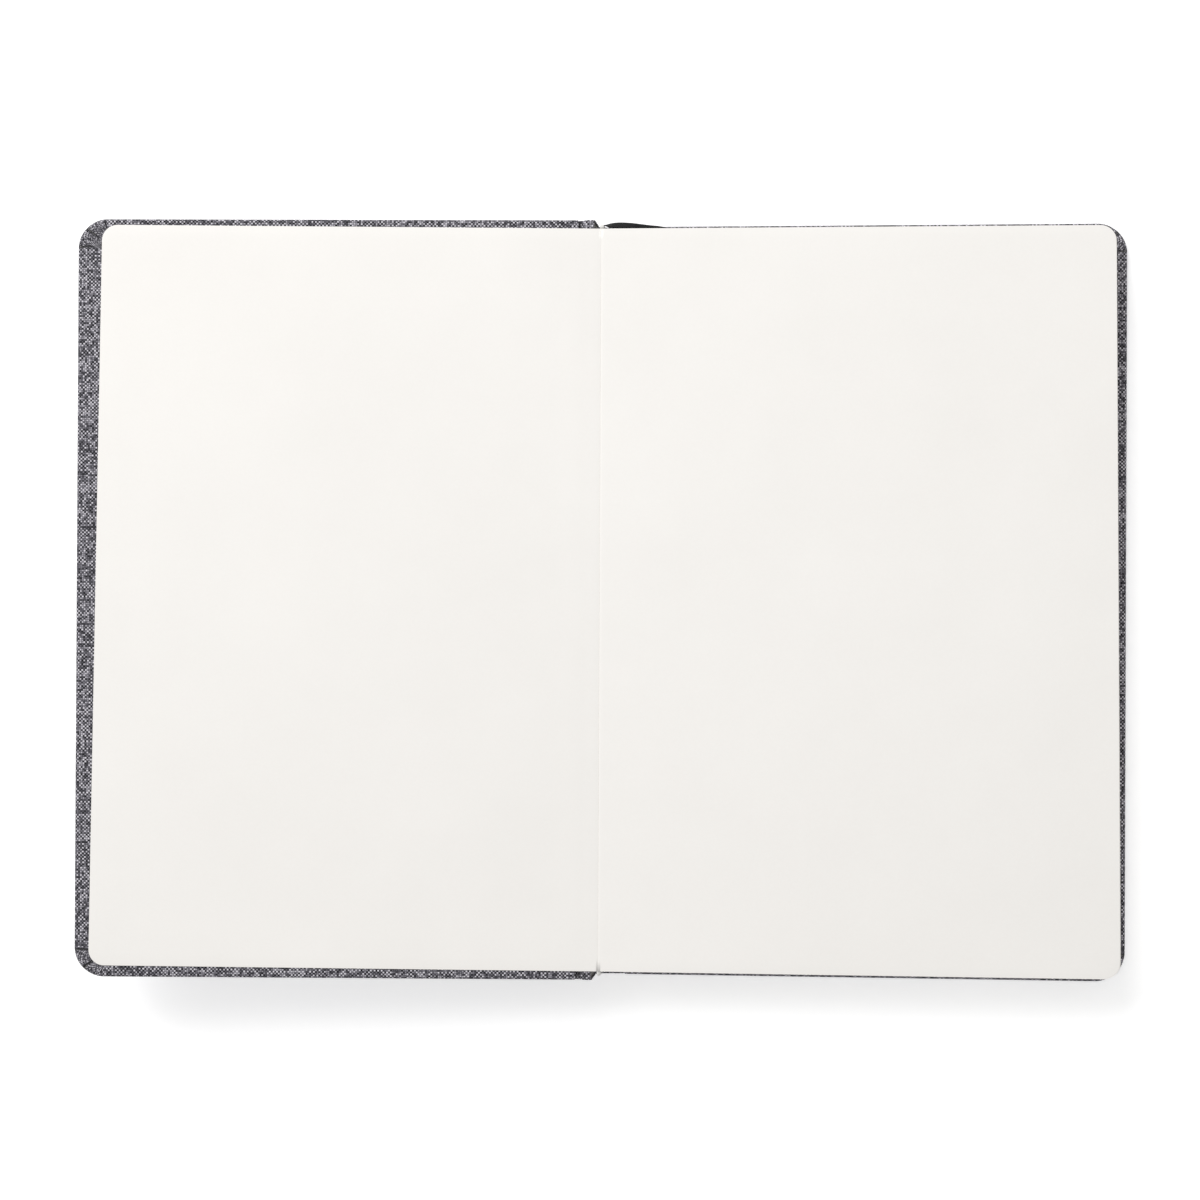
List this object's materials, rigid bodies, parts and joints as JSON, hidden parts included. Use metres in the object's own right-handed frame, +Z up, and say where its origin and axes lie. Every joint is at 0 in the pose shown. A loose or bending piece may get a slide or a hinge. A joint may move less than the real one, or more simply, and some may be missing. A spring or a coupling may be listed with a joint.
{
  "type": "sketchbook",
  "caption": "Case-bound sketchbook with grey linen covers and round corners, open flat at its first spread. Covers and flyleaves swing on the joints.",
  "frame": {"origin": "on the surface the book lies on, under the middle of the gutter", "axes": "+X across the spread towards the block's fore-edge, +Y towards the head, +Z up"},
  "size_m": [0.2968, 0.215, 0.0277],
  "materials": {
    "linen": "matte woven",
    "board": "matte pulp board",
    "endpaper": "matte uncoated",
    "drawing_paper": "matte uncoated",
    "lining_paper": "matte kraft",
    "mull": "open gauze",
    "thread": "waxed",
    "band": "woven",
    "ribbon": "satin"
  },
  "bodies": {
    "text_block": {"section_01": "drawing_paper", "section_02": "drawing_paper", "section_03": "drawing_paper", "section_04": "drawing_paper", "section_05": "drawing_paper", "section_06": "drawing_paper", "section_07": "drawing_paper", "section_08": "drawing_paper", "section_09": "drawing_paper", "section_10": "drawing_paper", "sewing_thread": "thread", "spine_mull": "mull", "spine_lining": "lining_paper", "spine_strip": "board", "spine_cloth": "linen", "head_band": "band", "tail_band": "band", "ribbon_marker": "ribbon"},
    "front_cover": {"front_board": "board", "front_cover_cloth": "linen", "front_mull_flap": "mull", "front_pastedown": "endpaper"},
    "front_flyleaf": {"front_flyleaf": "endpaper"},
    "back_cover": {"back_board": "board", "back_cover_cloth": "linen", "back_mull_flap": "mull", "back_pastedown": "endpaper"},
    "back_flyleaf": {"back_flyleaf": "endpaper"}
  },
  "joints": [
    {"name": "front_cover_hinge", "type": "hinge", "parent": "text_block", "child": "front_cover", "pos_m": [0, 0, 0.01762], "axis": [0, 1, 0], "range_deg": [-4, 176]},
    {"name": "front_flyleaf_turn", "type": "hinge", "parent": "text_block", "child": "front_flyleaf", "pos_m": [0, 0, 0.01762], "axis": [0, 1, 0], "range_deg": [-165, 0]},
    {"name": "back_cover_hinge", "type": "hinge", "parent": "text_block", "child": "back_cover", "pos_m": [0, 0, 0.0035], "axis": [0, -1, 0], "range_deg": [-179, 0]},
    {"name": "back_flyleaf_turn", "type": "hinge", "parent": "text_block", "child": "back_flyleaf", "pos_m": [0, 0, 0.0035], "axis": [0, -1, 0], "range_deg": [-179, 0]}
  ],
  "couplings": [
    {"joint": "back_flyleaf_turn", "follows": "back_cover_hinge", "ratio": 1}
  ]
}
